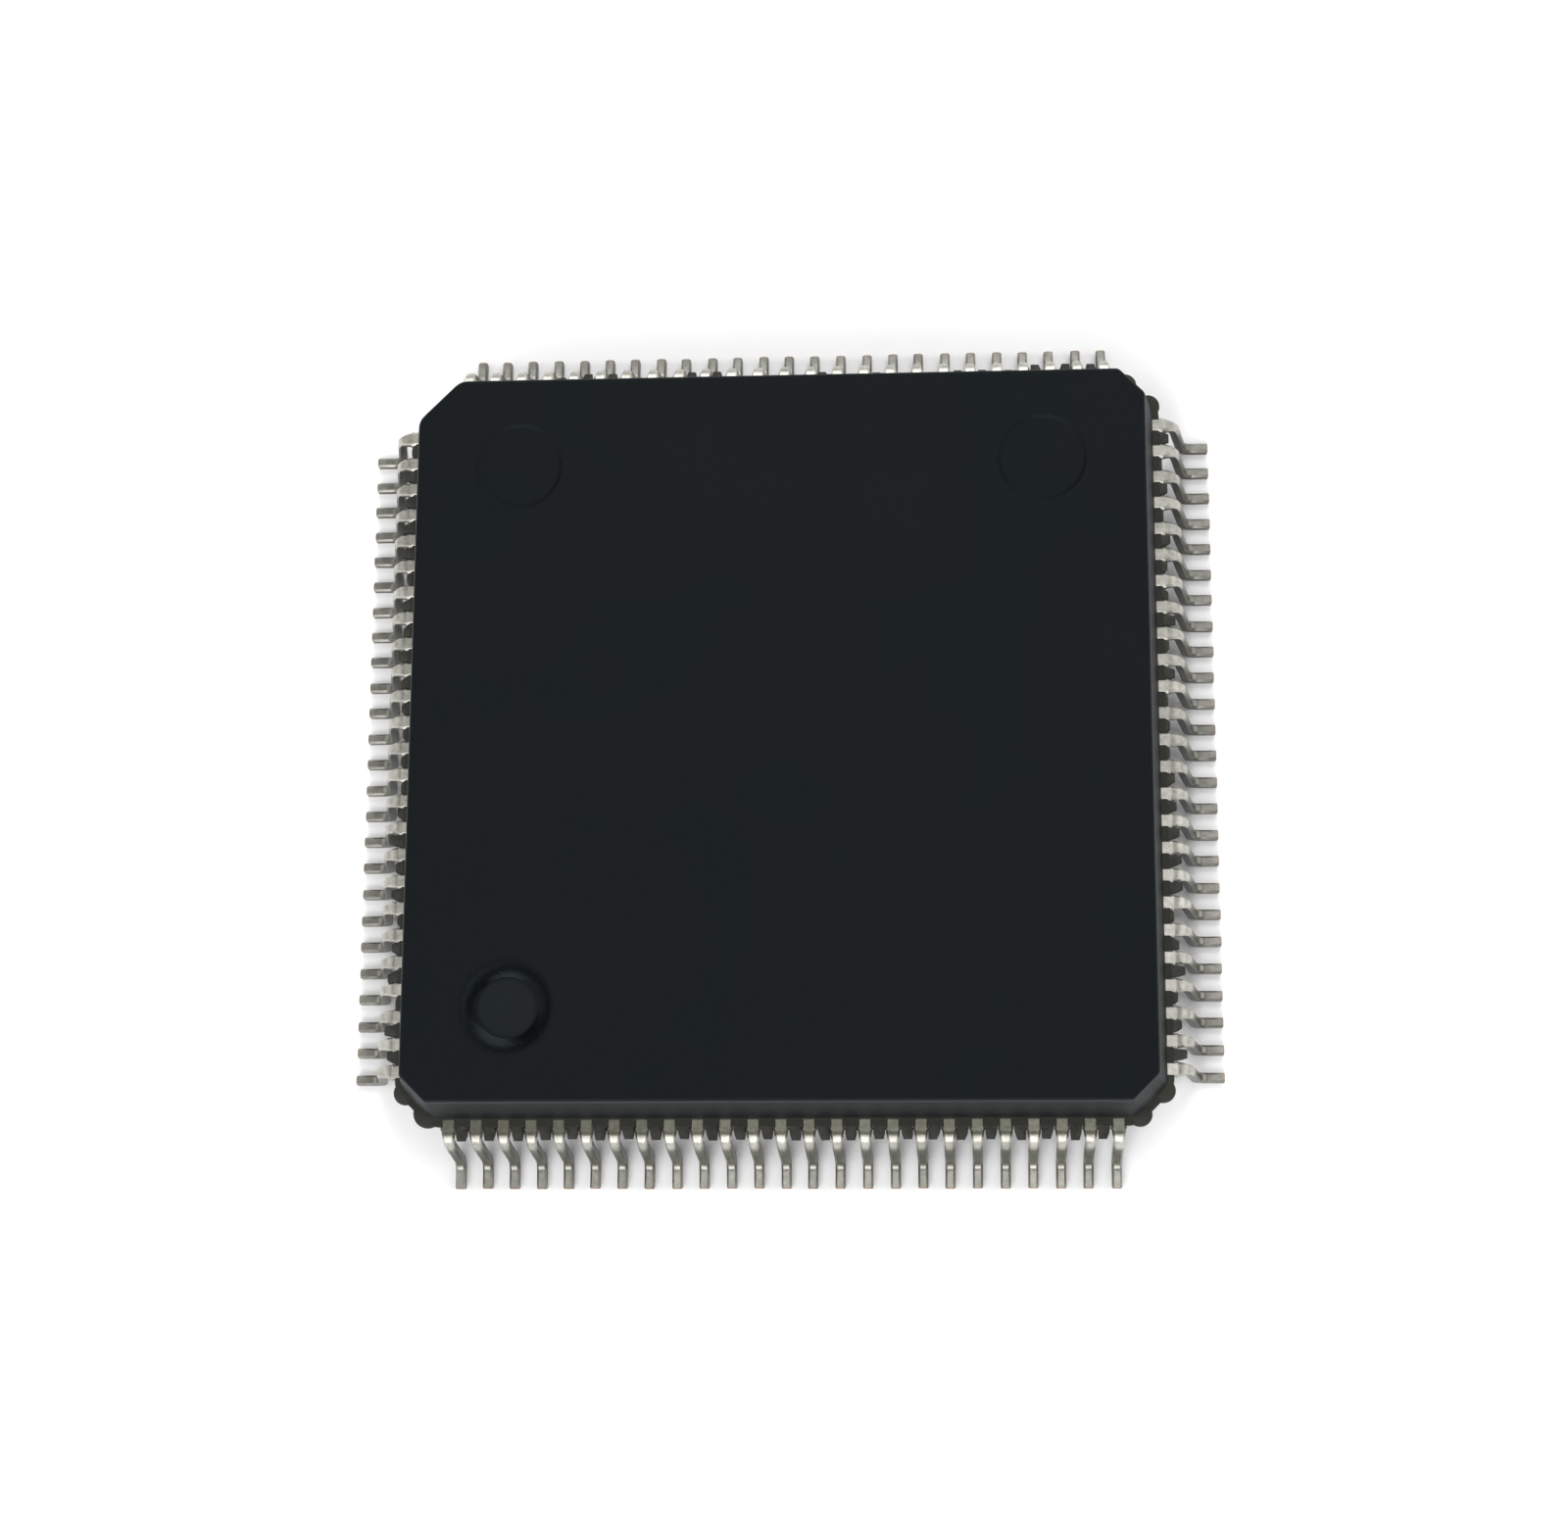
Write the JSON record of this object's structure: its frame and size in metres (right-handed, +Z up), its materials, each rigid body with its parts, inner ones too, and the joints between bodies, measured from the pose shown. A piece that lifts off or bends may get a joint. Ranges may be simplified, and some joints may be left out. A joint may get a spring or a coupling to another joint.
{
  "type": "quad flat pack chip",
  "caption": "Square black moulded chip package with a drafted, chamfered body and a row of fine gull-wing leads along each side, for soldering to a circuit board.",
  "frame": {"origin": "centre of the package on the seating plane, which is the underside of the lead feet", "axes": "+Z up through the top face; the index dimple is at the corner towards -X and -Y; front is -Y"},
  "size_m": [0.016, 0.016, 0.0028],
  "materials": {
    "mould_compound": "fine matt moulded epoxy",
    "lead_finish": "satin tin plating",
    "copper_frame": "bare copper alloy",
    "silver_epoxy": "silver-filled epoxy",
    "silicon": "polished silicon",
    "gold_wire": "bright gold wire"
  },
  "bodies": {
    "root": {"mould_body": "mould_compound", "die_paddle": "copper_frame", "die_attach": "silver_epoxy", "silicon_die": "silicon", "leads_front": "lead_finish", "leads_right": "lead_finish", "leads_back": "lead_finish", "leads_left": "lead_finish", "bond_wires_front": "gold_wire", "bond_wires_right": "gold_wire", "bond_wires_back": "gold_wire", "bond_wires_left": "gold_wire"}
  },
  "joints": []
}
